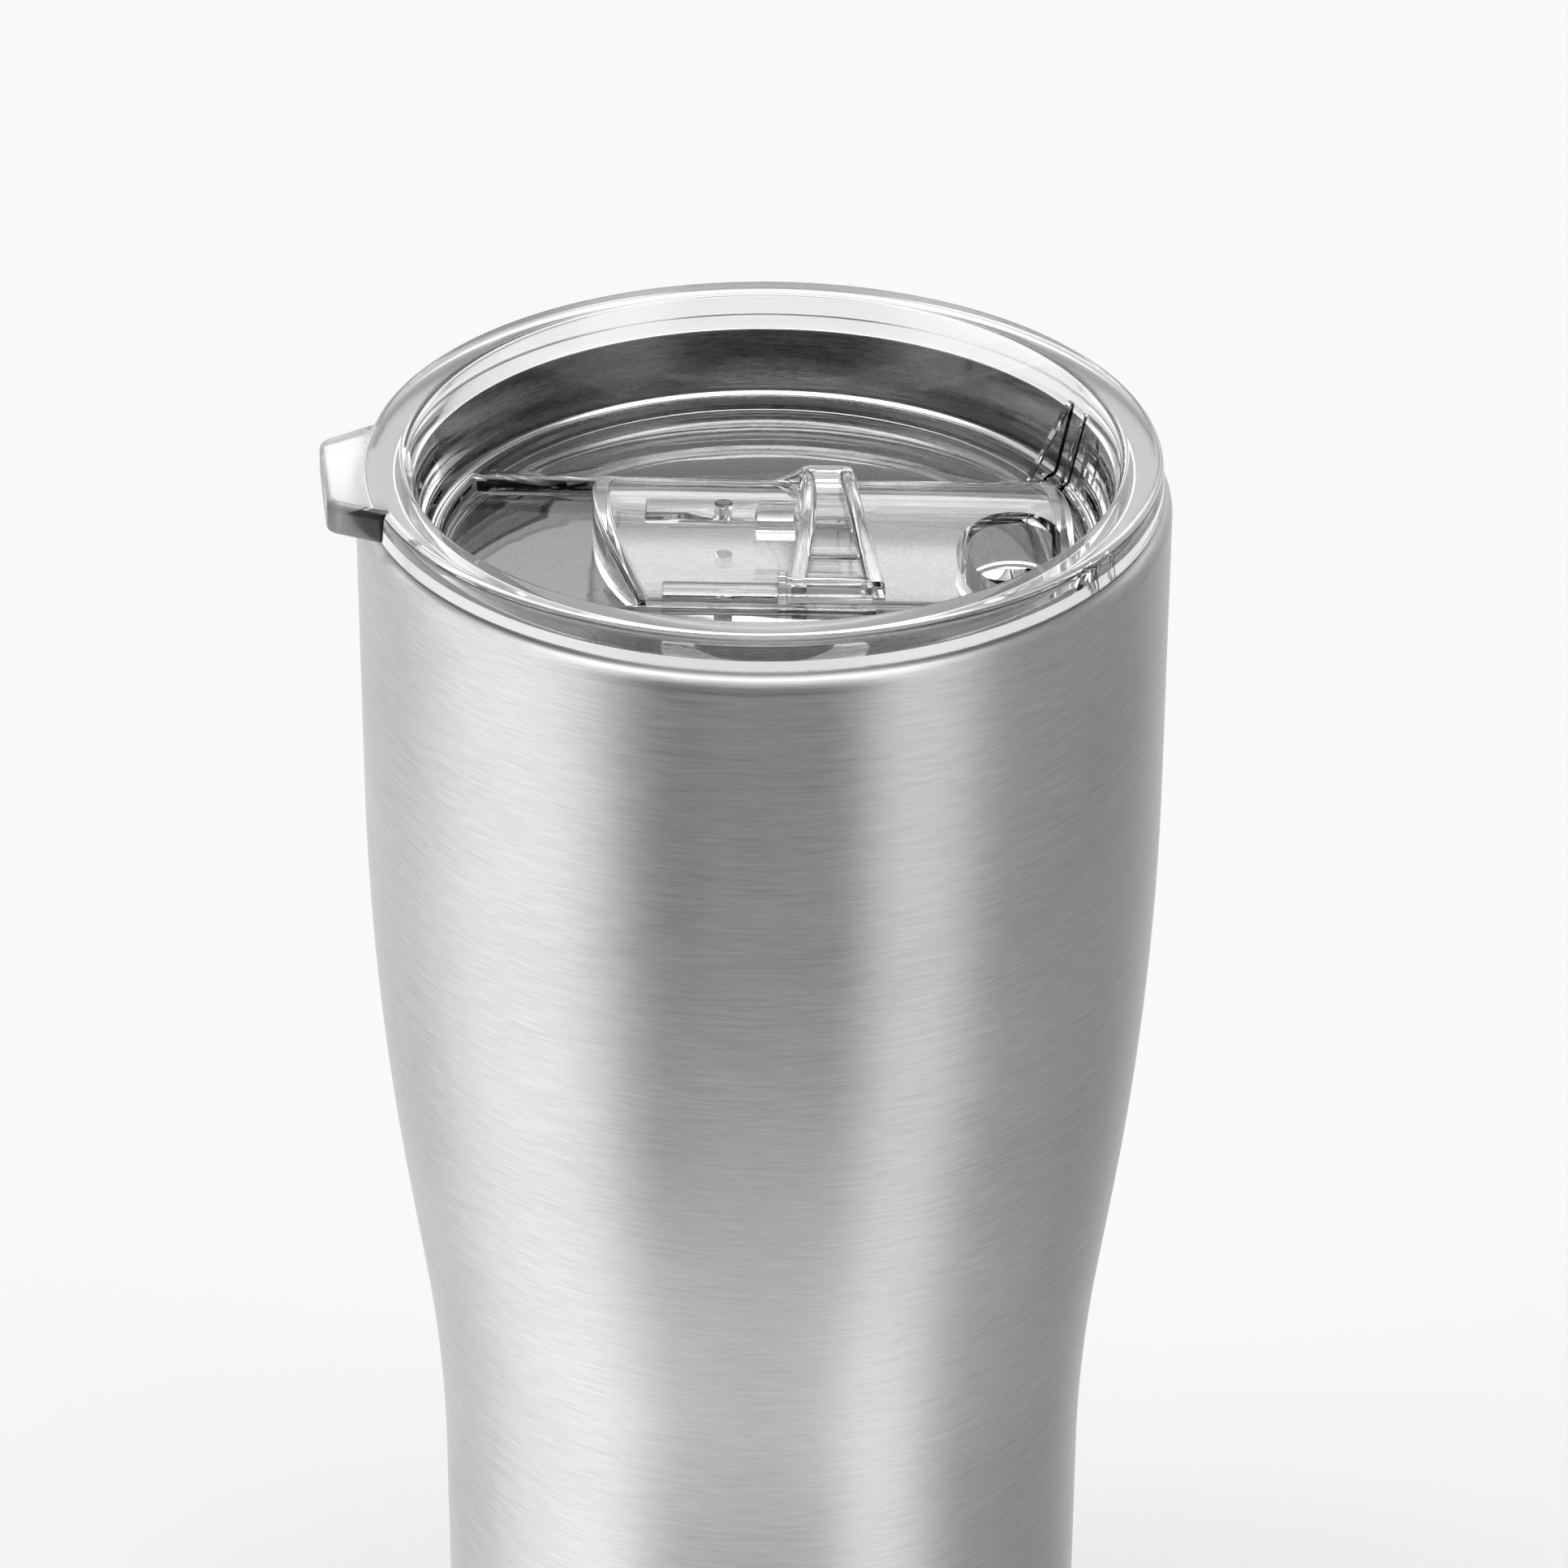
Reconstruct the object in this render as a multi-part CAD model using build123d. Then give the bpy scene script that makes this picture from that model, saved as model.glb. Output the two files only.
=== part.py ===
"""Insulated tumbler: double-walled steel cup, press-in clear lid with a pull tab, and a sliding closure.

Millimetres, +Z up. The origin is the centre of the standing ring. The lid's channel runs along X, the
sip hole is at +X and the pull tab at -X. The closure is modelled open, at the +X end of its travel.
"""
from build123d import *
import os

# ---------------------------------------------------------------- overall sizes
overall_height = 200.0  # standing ring to the top of the lid's flange
beyond = 60.0  # farther from the axis than anything on the object, for cutting blocks
rim_height = 195.3  # top of the steel rim

# The cup's outline: three straight, slightly conical stretches joined by two large arcs.
foot_radius = 40.3  # outer radius extended down to the standing plane
waist_radius, waist_height = 41.14, 71.4  # where the foot line meets the neck line
neck_radius, neck_height = 49.68, 126.6  # where the neck line meets the upper line
rim_radius = 50.5  # the upper line at rim height
waist_arc, neck_arc = 204.0, 407.0
shoulder_arc = 2.6

# Steel walls and the vacuum space between them
sheet = 0.5  # thickness of each wall
wall_depth = 5.44  # outside of the shell to the inside of the liner
shell_bottom = 3.0  # the shell is welded to its base here
liner_bottom = 18.0  # the liner is welded to its base here
lip_width = 0.9  # rim weld's outer edge to the liner's bore

# ---------------------------------------------------------------- outer base and what is on it
base_sheet = 0.6
standing_ring_inner = 34.6
recess_depth = 1.4
recess_radius = 34.1
base_corner = 2.6
press_corner = 0.3  # small corners of the pressed base
dimple_radius = 5.0
dimple_rise, dimple_slope = 1.0, 0.8
seal_bead = (1.4, 2.2, 0.8)  # lower radius, upper radius and depth of the glass bead
evacuation_hole_radius = 0.6
base_cap_radius = 33.8
base_cap_thickness, base_cap_chamfer = 0.5, 0.2

# ---------------------------------------------------------------- inner base, getter and foil
inner_floor = 9.0
inner_corner = 7.0
getter_offset = 18.0
getter_radius, getter_thickness, getter_height = 4.0, 1.8, 4.0
getter_chamfer = 0.3
clip_strip = 0.4
clip_half_length, clip_half_width, clip_half_deck = 9.0, 3.0, 5.9
foil_thickness = 0.15
foil_inset = 4.64
foil_bottom, foil_top = 22.0, 178.0

# ---------------------------------------------------------------- lid
flange_radius = 49.2
flange_foot_radius = 49.5
flange_underside = overall_height - 4.6
well_top_radius = 44.4
well_floor_radius = 41.2
well_floor = overall_height - 12.5
lid_sheet = 2.0
plug_top_radius = 44.3
plug_bottom_radius = 43.5
plug_bottom = overall_height - 17.4
plug_inner_radius = 39.6
groove_inner, groove_outer, groove_depth = 36.6, 39.6, 0.6
well_corner = 1.0
flange_corners = (0.9, 1.1, 0.5, 0.3)  # well edge, outer top edge, outer foot, root of the plug
plug_corners = (0.8, 0.5)

gasket_groove_radius = 42.0
gasket_groove_mouth = 46.0  # the groove's cutter ends outside the plug
gasket_groove_low, gasket_groove_high = plug_bottom + 1.1, plug_bottom + 4.2
gasket_clearance = 0.05
gasket_body_radius = 43.9
gasket_body_edge = 0.3
gasket_waist = 0.2  # how far the ring draws in between its lips
gasket_lip_radius, gasket_upper_lip_radius = 44.6, 44.5
lip_low, lip_high = 0.9, 2.4  # underside of each lip above the ring's foot
lip_thickness = 0.35

tab_angle = 187.0  # degrees round from the sip end
tab_reach = 54.5
tab_root_width, tab_end_width = 25.0, 17.5
tab_thickness = 4.3
tab_edge_radius = 0.9
tab_corner_radius = 2.2
tab_overlap = 3.0  # how far the tab's root reaches into the flange
tab_setback = 1.2  # the tab starts to narrow this far inside the flange's edge

channel_half_width = 16.5
channel_wall = 1.8
channel_reach = 40.1  # the channel's ends stop at this radius, inside the corner of the well
channel_floor = overall_height - 14.5
sip_centre = (31.0, -7.5)
sip_size = (10.8, 11.8)  # opening in the lid, along and across the channel
vent_x = -5.0
vent_radius = 1.15

# Upright ribs on the well wall, either side of the sip end: angle, foot radius, thickness
wall_ribs = [(29.5, 36.9, 1.4), (24.5, 39.8, 1.0)]
rib_drop = 3.0  # rib's top below the flange
rib_top_inner = 43.4
rib_low_bite, rib_high_bite = 0.8, 0.2  # how far a rib runs into the wall at its foot and top

# ---------------------------------------------------------------- sliding closure
slide_travel = 15.0
slider_half_width = 16.2
# Arcs that end the closure: centre in plan and radius
slider_left_end = ((15.9, 4.9), 37.4)
slider_right_ends = [((-60.2, -13.0), 99.0), ((0, 0), 39.7)]
arch_radius = 27.0
arch_apex = overall_height - 7.1
slider_foot = channel_floor + 0.1
plate = 2.0
window_size = (11.8, 12.8)
collar_size = (14.2, 15.2)  # outside of the wall round the drinking window
collar_inset = 0.5
arch_axis_height = arch_apex - arch_radius

rail_reach, rail_height = 0.8, 1.0
rail_span = (-12.0, 13.8)
rail_clearance = 0.2
track_end_gap = 0.4
track_bite = 0.1

bead_span = (-12.0, 2.3)
near_bead = (-15.1, 188.6, 1.1)  # position across the channel, height of the axis, radius
far_bead = (15.3, 187.5, 0.8)
pad_span, pad_width, pad_drop = (-14.6, 0.0), 5.0, 0.6
peg_span, peg_drop = (0.0, 4.0), 2.5
pad_bite = 0.6  # how far pad and peg run into the arch

# Thumb grip: two hoops over the arch, a stepped web between them and a low flare beside the left hoop
hoop_height = 1.9
left_hoop = [(3.9, 14.5), (5.0, 14.5), (6.5, 0.0), (5.5, -15.0), (3.6, -15.0), (4.7, 0.0)]
right_hoop = [(8.7, 14.5), (10.7, 14.5), (11.9, 0.0), (15.2, -15.0), (13.2, -15.0), (9.9, 0.0)]
web_far_height, web_far_edge = 1.6, 8.8
web_steps = [(8.8, 1.5, 6.4), (1.5, -3.8, 6.9), (-3.8, -10.8, 8.5)]  # far edge, near edge, depth of tread
web_root = overall_height - 12.0
flare = [(4.9, -3.0), (4.6, 13.4), (-0.6, 13.4), (1.6, 9.0), (3.2, 4.0), (4.1, 0.0)]
flare_height = 0.9
foot_inner = 13.6
near_foot_span, near_foot_top = (2.3, 13.9), overall_height - 9.6
far_foot_span, far_foot_top = (4.0, 11.2), overall_height - 10.9


# ---------------------------------------------------------------- helpers
def spin(outline):
    """Turn a closed outline of (radius, height) about Z."""
    return revolve(make_face(Plane.XZ * outline), Axis.Z)


def closed(points):
    """Closed straight-sided outline."""
    return Polyline(*points, close=True)


def foot_line_radius(height):
    """Outer radius of the cup on its lowest straight stretch."""
    return foot_radius + (waist_radius - foot_radius) * height / waist_height


def upper_line_radius(height):
    """Outer radius of the cup on its highest straight stretch."""
    slope = (rim_radius - neck_radius) / (rim_height - neck_height)
    return neck_radius + slope * (height - neck_height)


def wall_line(inset, low, high):
    """The cup's outline moved inwards, between two heights."""
    return FilletPolyline(
        (foot_line_radius(low) - inset, low),
        (waist_radius - inset, waist_height),
        (neck_radius - inset, neck_height),
        (upper_line_radius(high) - inset, high),
        radius=[waist_arc, neck_arc],
    )


def wall_tube(outer_inset, inner_inset, low, high):
    """A wall that follows the cup's outline between two insets."""
    outside = wall_line(outer_inset, low, high)
    inside = wall_line(inner_inset, low, high)
    ends = [Line(outside @ 0, inside @ 0), Line(outside @ 1, inside @ 1)]
    return spin(Curve() + [outside, inside] + ends)


def block(x_span, y_span, z_span):
    """Box given by its limits."""
    size = [high - low for low, high in (x_span, y_span, z_span)]
    centre = [(high + low) / 2 for low, high in (x_span, y_span, z_span)]
    return Pos(*centre) * Box(*size)


def disc(centre, radius, low, high, inset=0.0):
    """Upright cylinder given by its centre in plan and its heights."""
    return Pos(centre[0], centre[1], (low + high) / 2) * Cylinder(radius - inset, high - low)


def prism(points, low, high):
    """Upright prism on a plan outline."""
    return Pos(0, 0, low) * extrude(make_face(Polyline(*points, close=True)), high - low)


def oval(centre, size, low, high):
    """Upright oval prism."""
    plan = Pos(centre[0], centre[1], low) * Ellipse(size[0] / 2, size[1] / 2)
    return extrude(plan, high - low)


# ---------------------------------------------------------------- steel cup
def outer_shell():
    """Spun outer wall with its shoulder turned in to the rim."""
    weld_radius = upper_line_radius(rim_height) - wall_depth + lip_width

    def line(inset):
        return FilletPolyline(
            (foot_line_radius(shell_bottom) - inset, shell_bottom),
            (waist_radius - inset, waist_height),
            (neck_radius - inset, neck_height),
            (rim_radius - inset, rim_height - inset),
            (weld_radius, rim_height - inset),
            radius=[waist_arc, neck_arc, shoulder_arc - inset],
        )

    outside, inside = line(0), line(sheet)
    ends = [Line(outside @ 0, inside @ 0), Line(outside @ 1, inside @ 1)]
    return spin(Curve() + [outside, inside] + ends)


def rim_weld():
    """Polished seam that closes the rim between the shell and the liner."""
    bore = upper_line_radius(rim_height) - wall_depth
    return spin(closed([
        (bore + sheet, rim_height - sheet),
        (bore + lip_width, rim_height - sheet),
        (bore + lip_width, rim_height),
        (bore + sheet, rim_height),
    ]))


def inner_liner():
    """Drawn inner wall, open at both ends, from its base seam to the rim."""
    return wall_tube(wall_depth - sheet, wall_depth, liner_bottom, rim_height)


def inner_base():
    """Dished floor of the cup, butted to the liner."""

    def line(inset, floor, corner):
        return FilletPolyline(
            (foot_line_radius(liner_bottom) - inset, liner_bottom),
            (foot_line_radius(floor) - inset, floor),
            (0, floor),
            radius=[corner],
        )

    outside = line(wall_depth - sheet, inner_floor - sheet, inner_corner + sheet)
    inside = line(wall_depth, inner_floor, inner_corner)
    ends = [Line(outside @ 0, inside @ 0), Line(outside @ 1, inside @ 1)]
    dish = make_face(Plane.XZ * (Curve() + [outside, inside] + ends))
    return revolve(dish, Axis.Z)


def outer_base():
    """Pressed base: rounded corner, flat standing ring, recessed middle and a dimple with the pump-out hole."""
    seam = foot_line_radius(shell_bottom)
    ceiling = recess_depth + dimple_rise
    small = [press_corner] * 4
    outside = FilletPolyline(
        (seam, shell_bottom),
        (foot_radius, 0),
        (standing_ring_inner, 0),
        (recess_radius, recess_depth),
        (dimple_radius, recess_depth),
        (dimple_radius - dimple_slope, ceiling),
        (evacuation_hole_radius, ceiling),
        radius=[base_corner, *small],
    )
    inside = FilletPolyline(
        (seam - base_sheet, shell_bottom),
        (foot_radius - base_sheet, base_sheet),
        (standing_ring_inner + base_sheet * 0.7, base_sheet),
        (recess_radius + base_sheet * 0.7, recess_depth + base_sheet),
        (dimple_radius + base_sheet / 2, recess_depth + base_sheet),
        (dimple_radius - dimple_slope + base_sheet / 2, ceiling + base_sheet),
        (evacuation_hole_radius, ceiling + base_sheet),
        radius=[base_corner - base_sheet, *small],
    )
    ends = [Line(outside @ 0, inside @ 0), Line(outside @ 1, inside @ 1)]
    return spin(Curve() + [outside, inside] + ends)


def vacuum_seal():
    """Bead of sealing glass that fills the pump-out hole from the dimple."""
    ceiling = recess_depth + dimple_rise
    dome = Pos(0, 0, ceiling) * Cone(*seal_bead, align=(Align.CENTER, Align.CENTER, Align.MAX))
    plug = disc((0, 0), evacuation_hole_radius, ceiling, ceiling + base_sheet)
    return dome + plug


def base_cap():
    """Thin polished disc glued into the base recess over the seal."""
    cap = disc((0, 0), base_cap_radius, recess_depth - base_cap_thickness, recess_depth)
    return chamfer(cap.edges().group_by(Axis.Z)[0], base_cap_chamfer)


def getter_clip():
    """Bent strip welded to the base that holds the getter up in the vacuum space."""
    floor = recess_depth + base_sheet
    leg = clip_half_deck - clip_strip
    across = (-clip_half_width, clip_half_width)
    feet = block((-clip_half_length, clip_half_length), across, (floor, floor + clip_strip))
    feet -= block((-leg, leg), across, (floor, floor + clip_strip))
    deck = block((-clip_half_deck, clip_half_deck), across, (getter_height - clip_strip, getter_height))
    legs = [block(span, across, (floor, getter_height)) for span in ((-clip_half_deck, -leg), (leg, clip_half_deck))]
    return Pos(getter_offset, 0, 0) * (feet + deck + legs)


def getter():
    """Pressed gas-absorbing tablet standing on its clip."""
    tablet = disc((getter_offset, 0), getter_radius, getter_height, getter_height + getter_thickness)
    return chamfer(tablet.edges(), getter_chamfer)


def radiation_foil():
    """Heat-reflecting foil wrapped round the liner inside the vacuum space."""
    return wall_tube(foil_inset, foil_inset + foil_thickness, foil_bottom, foil_top)


# ---------------------------------------------------------------- lid
def pull_tab():
    """Tongue on the flange for lifting the lid."""
    inner = flange_radius - tab_overlap
    root = flange_radius - tab_setback
    plan = make_face(Polyline(
        (inner, -tab_root_width / 2),
        (root, -tab_root_width / 2),
        (tab_reach, -tab_end_width / 2),
        (tab_reach, tab_end_width / 2),
        (root, tab_root_width / 2),
        (inner, tab_root_width / 2),
        close=True,
    ))
    corners = plan.vertices().sort_by(Axis.X)[-2:]
    plan = fillet(corners, tab_corner_radius)
    tab = Pos(0, 0, overall_height - tab_thickness) * extrude(plan, tab_thickness)
    outer_edges = [e for e in tab.edges() if e.center().X > flange_radius - 1]
    top_edges = [e for e in outer_edges if e.bounding_box().min.Z > overall_height - 0.1]
    tab = fillet(top_edges, tab_edge_radius)
    return Rot(0, 0, tab_angle) * tab


def wall_rib(angle, foot, thickness):
    """Upright gusset between the well floor and the well wall."""
    low = well_floor - groove_depth - 0.1
    high = overall_height - rib_drop
    wall_foot, wall_top = well_floor_radius + rib_low_bite, well_top_radius - rib_high_bite
    outline = [(foot, low), (wall_foot, low), (wall_top, high), (rib_top_inner, high)]
    fin = extrude(make_face(Plane.XZ * closed(outline)), thickness / 2, both=True)
    return Rot(0, 0, angle) * fin


def lid_body():
    """One clear moulding: flange, well, channel, pull tab and the plug that enters the cup."""
    under = well_floor - lid_sheet
    outline = FilletPolyline(
        (0, well_floor),
        (well_floor_radius, well_floor),
        (well_top_radius, overall_height),
        (flange_radius, overall_height),
        (flange_foot_radius, flange_underside),
        (plug_top_radius, flange_underside),
        (plug_bottom_radius, plug_bottom),
        (plug_inner_radius, plug_bottom),
        (plug_inner_radius, under),
        (0, under),
        radius=[well_corner, *flange_corners, *plug_corners, 0],
    )
    body = spin(Curve() + [outline, Line(outline @ 1, outline @ 0)])
    body += pull_tab()

    tray_reach = channel_half_width + channel_wall
    tray = disc((0, 0), plug_inner_radius + 0.4, channel_floor - lid_sheet, under + 0.1)
    tray &= block((-beyond, beyond), (-tray_reach, tray_reach), (channel_floor - lid_sheet, under + 0.1))
    body += tray

    channel = disc((0, 0), channel_reach, channel_floor, well_floor + 0.5)
    channel &= block((-beyond, beyond), (-channel_half_width, channel_half_width), (channel_floor, well_floor + 1))
    body -= channel

    ring = disc((0, 0), groove_outer, well_floor - groove_depth, well_floor + 0.1)
    ring -= disc((0, 0), groove_inner, well_floor - groove_depth - 1, well_floor + 1)
    body -= ring - block((-beyond, beyond), (-tray_reach, tray_reach), (0, overall_height))
    body += [wall_rib(side * angle, foot, width) for angle, foot, width in wall_ribs for side in (-1, 1)]

    seal_groove = disc((0, 0), gasket_groove_mouth, gasket_groove_low, gasket_groove_high)
    seal_groove -= disc((0, 0), gasket_groove_radius, gasket_groove_low - 1, gasket_groove_high + 1)
    body -= seal_groove

    groove_reach = slider_half_width + rail_reach + rail_clearance * 2
    groove_low = slider_foot - 0.05
    groove_high = slider_foot + rail_height + rail_clearance * 2
    track = (rail_span[0] - slide_travel - track_end_gap, rail_span[1] + track_end_gap)
    groove_root = channel_half_width - track_bite
    for across in ((-groove_reach, -groove_root), (groove_root, groove_reach)):
        body -= block(track, across, (groove_low, groove_high))

    body -= oval(sip_centre, sip_size, channel_floor - 5, channel_floor + 1)
    body -= disc((vent_x, 0), vent_radius, channel_floor - 5, channel_floor + 1)
    return body


def lid_gasket():
    """Clear silicone ring with two lips, seated in the plug's groove."""
    low, high = gasket_groove_low + gasket_clearance, gasket_groove_high - gasket_clearance
    foot = gasket_body_radius - gasket_body_edge
    waist = gasket_body_radius - gasket_waist
    return spin(closed([
        (gasket_groove_radius, low),
        (foot, low),
        (gasket_body_radius, low + gasket_body_edge),
        (gasket_lip_radius, low + lip_low),
        (gasket_lip_radius, low + lip_low + lip_thickness),
        (waist, low + lip_low + gasket_waist),
        (waist, low + lip_high - gasket_waist * 2.5),
        (gasket_upper_lip_radius, low + lip_high),
        (gasket_upper_lip_radius, low + lip_high + lip_thickness),
        (foot, high),
        (gasket_groove_radius, high),
    ]))


# ---------------------------------------------------------------- sliding closure
def slider_plan(inset):
    """Space inside the closure's plan outline, moved in by an inset: two end arcs within the well."""
    low, high = slider_foot - 2, overall_height
    shape = disc(*slider_left_end, low, high, inset)
    for circle in slider_right_ends:
        shape &= disc(*circle, low, high, inset)
    half = slider_half_width - inset
    return shape & block((-beyond, beyond), (-half, half), (low, high))


def arch_core(radius):
    """Everything under an arch of the given radius about the closure's axis."""
    return Pos(0, 0, arch_axis_height) * Rot(0, 90, 0) * Cylinder(radius, 120)


def bead(across, height, radius):
    """Round bar along one edge of the closure."""
    length = bead_span[1] - bead_span[0]
    return Pos(sum(bead_span) / 2, across, height) * Rot(0, 90, 0) * Cylinder(radius, length)


def slider_plate():
    """Arched clear cover with end walls, side rails, edge beads, vent hole and a walled drinking window."""
    under = block((-beyond, beyond), (-beyond, beyond), (slider_foot, overall_height))
    shell = slider_plan(0) & arch_core(arch_radius) & under
    shell -= slider_plan(plate) & arch_core(arch_radius - plate)

    top = arch_apex - plate
    half_pad = pad_width / 2
    shell += block(pad_span, (-half_pad, half_pad), (top - pad_drop, top + pad_bite))
    shell += block(peg_span, (-half_pad, half_pad), (top - peg_drop, top + pad_bite))

    rail_z = (slider_foot + rail_clearance, slider_foot + rail_clearance + rail_height)
    inner, outer = slider_half_width - 1, slider_half_width + rail_reach
    shell += [block(rail_span, across, rail_z) for across in ((-outer, -inner), (inner, outer))]
    shell += [bead(*near_bead), bead(*far_bead)]

    collar = oval(sip_centre, collar_size, slider_foot, overall_height)
    shell += collar & slider_plan(collar_inset) & arch_core(arch_radius - collar_inset)
    shell -= oval(sip_centre, window_size, slider_foot - 1, overall_height)
    shell -= disc((vent_x, 0), vent_radius, top - pad_drop - 1, overall_height)
    return shell


def hoop(plan, height):
    """Part of a raised band over the arch, cut to a plan outline."""
    band = arch_core(arch_radius + height) - arch_core(arch_radius)
    return band & prism(plan, arch_apex - 4.9, overall_height)


def thumb_grip():
    """Bridge clipped over the cover: hoops, a stepped web for the thumb, a flare and a foot along each edge."""
    between = [left_hoop[1], left_hoop[2], left_hoop[3], right_hoop[4], right_hoop[5], right_hoop[0]]
    far_part = block((-beyond, beyond), (web_far_edge, beyond), (0, overall_height))
    grip = hoop(left_hoop, hoop_height) + hoop(right_hoop, hoop_height) + hoop(flare, flare_height)
    grip += hoop(between, web_far_height) & far_part
    treads = prism(between, web_root, overall_height)
    for far, near, depth in web_steps:
        step = block((-beyond, beyond), (near, far), (web_root, overall_height - depth))
        grip += (treads & step) - arch_core(arch_radius)
    near_foot = block(near_foot_span, (-slider_half_width, -foot_inner), (well_floor, near_foot_top))
    far_foot = block(far_foot_span, (foot_inner, slider_half_width), (well_floor, far_foot_top))
    for foot in (near_foot, far_foot):
        grip += foot - arch_core(arch_radius)
    return grip


parts = {
    "outer_shell": outer_shell,
    "rim_weld": rim_weld,
    "inner_liner": inner_liner,
    "inner_base": inner_base,
    "outer_base": outer_base,
    "vacuum_seal": vacuum_seal,
    "base_cap": base_cap,
    "getter_clip": getter_clip,
    "getter": getter,
    "radiation_foil": radiation_foil,
    "lid_body": lid_body,
    "lid_gasket": lid_gasket,
    "slider_plate": slider_plate,
    "thumb_grip": thumb_grip,
}

os.makedirs("parts", exist_ok=True)
for name, make in parts.items():
    export_step(make(), f"parts/{name}.step")
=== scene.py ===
"""Looks of an insulated steel tumbler with a clear press-in lid and a sliding closure.

Lengths are in millimetres along the frame's own axes, unless a comment says otherwise: +Z is up, the origin
is the middle of the standing ring, the lid's channel runs along X and the sip hole is at +X.
"""
import math

import bmesh
import bpy
from mathutils import Matrix, Vector


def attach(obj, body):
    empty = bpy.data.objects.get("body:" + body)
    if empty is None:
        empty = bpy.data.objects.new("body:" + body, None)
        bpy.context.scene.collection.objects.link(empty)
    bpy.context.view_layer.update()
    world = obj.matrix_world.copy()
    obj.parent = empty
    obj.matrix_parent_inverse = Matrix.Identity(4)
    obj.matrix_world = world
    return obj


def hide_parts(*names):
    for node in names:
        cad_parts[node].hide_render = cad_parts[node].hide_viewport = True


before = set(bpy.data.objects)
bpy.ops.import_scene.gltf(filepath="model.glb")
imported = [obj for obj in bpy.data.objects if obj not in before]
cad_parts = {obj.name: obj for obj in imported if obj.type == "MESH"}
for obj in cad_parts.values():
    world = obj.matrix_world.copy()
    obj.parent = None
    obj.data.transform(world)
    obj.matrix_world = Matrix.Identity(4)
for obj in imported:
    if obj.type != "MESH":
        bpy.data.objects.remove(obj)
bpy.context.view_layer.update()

MM = 0.001
TURN_STEPS = 288  # segments round the big turned pieces
SMOOTH_ANGLE = math.radians(32)  # edges sharper than this stay crisp
CORNER_STEP = 18.0  # degrees for each segment of a small corner
SWEEP_STEP = 0.45  # degrees for each segment of the wall's long curves

# ---------------------------------------------------------------- main sizes
TOP = 200.0  # top of the lid's flange
RIM = 195.3  # top of the steel rim
WALL_DEPTH = 5.44  # from the outer face of the shell to the inner face of the liner
SHEET = 0.5
SHELL_FOOT = 3.0  # height of the seam between the shell and the outer base
LINER_FOOT = 18.0  # height of the seam between the liner and its floor
FLANGE_FOOT = TOP - 4.6
WELL_FLOOR = TOP - 12.5
WELL_UNDER = WELL_FLOOR - 2.0
CHANNEL_FLOOR = TOP - 14.5
CHANNEL_HALF = 16.5
CHANNEL_REACH = 40.1
TRAY_HALF = 18.3
PLUG_BOTTOM = TOP - 17.4
PLUG_FOOT_RADIUS = 43.5
PLUG_HEAD_RADIUS = 44.3
SLIDER_HALF = 16.2
SLIDER_FOOT = CHANNEL_FLOOR + 0.1
ARCH_RADIUS = 27.0
ARCH_APEX = TOP - 7.1
ARCH_AXIS = ARCH_APEX - ARCH_RADIUS
ARCH_SOLE = ARCH_RADIUS - 0.3  # the grip's bands sink this far into the arch so that they close on it
SIP_CENTRE = (31.0, -7.5)
SIP_HOLE = (10.8, 11.8)
WINDOW = (11.8, 12.8)
COLLAR = (14.2, 15.2)
VENT_CENTRE = (-5.0, 0)
VENT_HOLE = (2.3, 2.3)


# ---------------------------------------------------------------- mesh helpers
def rounded(points, step_degrees=9.0):
    """Outline through (x, z, corner radius) points, with an arc at every corner whose radius isn't 0."""
    line = []
    count = len(points)
    for index, (x, z, radius) in enumerate(points):
        here = Vector((x, z))
        if radius == 0:
            line.append(here)
            continue
        before = (Vector(points[index - 1][:2]) - here).normalized()
        after = (Vector(points[(index + 1) % count][:2]) - here).normalized()
        half = before.angle(after) / 2
        reach = radius / math.tan(half)
        centre = here + (before + after).normalized() * (radius / math.sin(half))
        start = here + before * reach - centre
        sweep = math.pi - 2 * half
        side = -1 if before.x * after.y - before.y * after.x > 0 else 1
        steps = max(2, round(math.degrees(sweep) / step_degrees))
        for step in range(steps + 1):
            line.append(centre + Matrix.Rotation(side * sweep * step / steps, 2) @ start)
    return line


def object_from(mesh_builder, name):
    """Object made from a bmesh, with outward normals, smooth faces and crisp sharp edges."""
    bmesh.ops.recalc_face_normals(mesh_builder, faces=mesh_builder.faces)
    mesh = bpy.data.meshes.new(name)
    mesh_builder.to_mesh(mesh)
    mesh_builder.free()
    piece = bpy.data.objects.new(name, mesh)
    bpy.context.scene.collection.objects.link(piece)
    smooth(piece)
    return piece


def smooth(piece):
    """Smooth shading with the sharper edges kept crisp."""
    piece.data.shade_smooth()
    piece.data.set_sharp_from_angle(angle=SMOOTH_ANGLE)


def lathe(name, line):
    """Closed outline of (radius, height) turned about Z. Points on the axis become one vertex."""
    builder = bmesh.new()
    turns = [2 * math.pi * step / TURN_STEPS for step in range(TURN_STEPS)]
    rings = []
    for radius, height in line:
        if radius < 1e-6:
            rings.append([builder.verts.new((0, 0, height * MM))])
            continue
        rings.append([
            builder.verts.new((radius * math.cos(turn) * MM, radius * math.sin(turn) * MM, height * MM))
            for turn in turns
        ])
    for low, high in zip(rings, rings[1:] + rings[:1]):
        if len(low) == 1 and len(high) == 1:
            continue
        for step in range(TURN_STEPS):
            after = (step + 1) % TURN_STEPS
            round_face = ((low, step), (low, after), (high, after), (high, step))
            corners = [ring[at % len(ring)] for ring, at in round_face]
            builder.faces.new(list(dict.fromkeys(corners)))
    return object_from(builder, name)


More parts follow.
